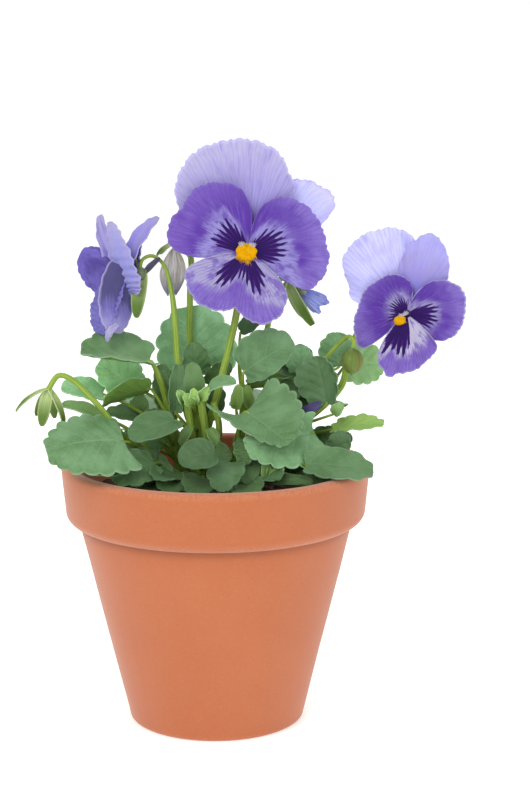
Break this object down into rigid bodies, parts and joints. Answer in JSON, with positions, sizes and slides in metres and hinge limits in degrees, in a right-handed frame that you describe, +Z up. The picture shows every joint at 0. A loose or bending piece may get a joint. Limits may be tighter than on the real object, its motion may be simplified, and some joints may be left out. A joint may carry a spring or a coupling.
{
  "type": "potted pansy planter",
  "caption": "Round terracotta flowerpot with a rim band, filled with soil and holding a leafy pansy plant with violet blooms, buds and a seed pod.",
  "frame": {"origin": "centre of the pot's flat underside, on the pot's axis", "axes": "+Z up along the pot's axis, -Y towards the front that the open blooms face, +X to the right as seen from the front"},
  "size_m": [0.1834, 0.13, 0.2464],
  "materials": {
    "terracotta": "matte",
    "soil": "matte",
    "leaf": "satin",
    "pale_petal": "matte",
    "violet_petal": "matte",
    "eye": "matte",
    "faded_petal": "matte",
    "dark_bud": "matte",
    "seed_pod": "satin"
  },
  "bodies": {
    "root": {"pot": "terracotta", "soil": "soil", "main_bloom_upper_petals": "pale_petal", "main_bloom_lower_petals": "violet_petal", "main_bloom_eye": "eye", "right_bloom_upper_petals": "pale_petal", "right_bloom_lower_petals": "violet_petal", "right_bloom_eye": "eye", "left_bloom_petals": "violet_petal", "faded_bloom": "faded_petal", "opening_bud": "pale_petal", "seed_pod": "seed_pod", "dark_bud": "dark_bud", "left_front_stem": "leaf", "left_stem": "leaf", "back_left_stem": "leaf", "middle_stem": "leaf", "right_stem": "leaf", "right_front_stem": "leaf", "back_right_stem": "leaf"}
  },
  "joints": []
}
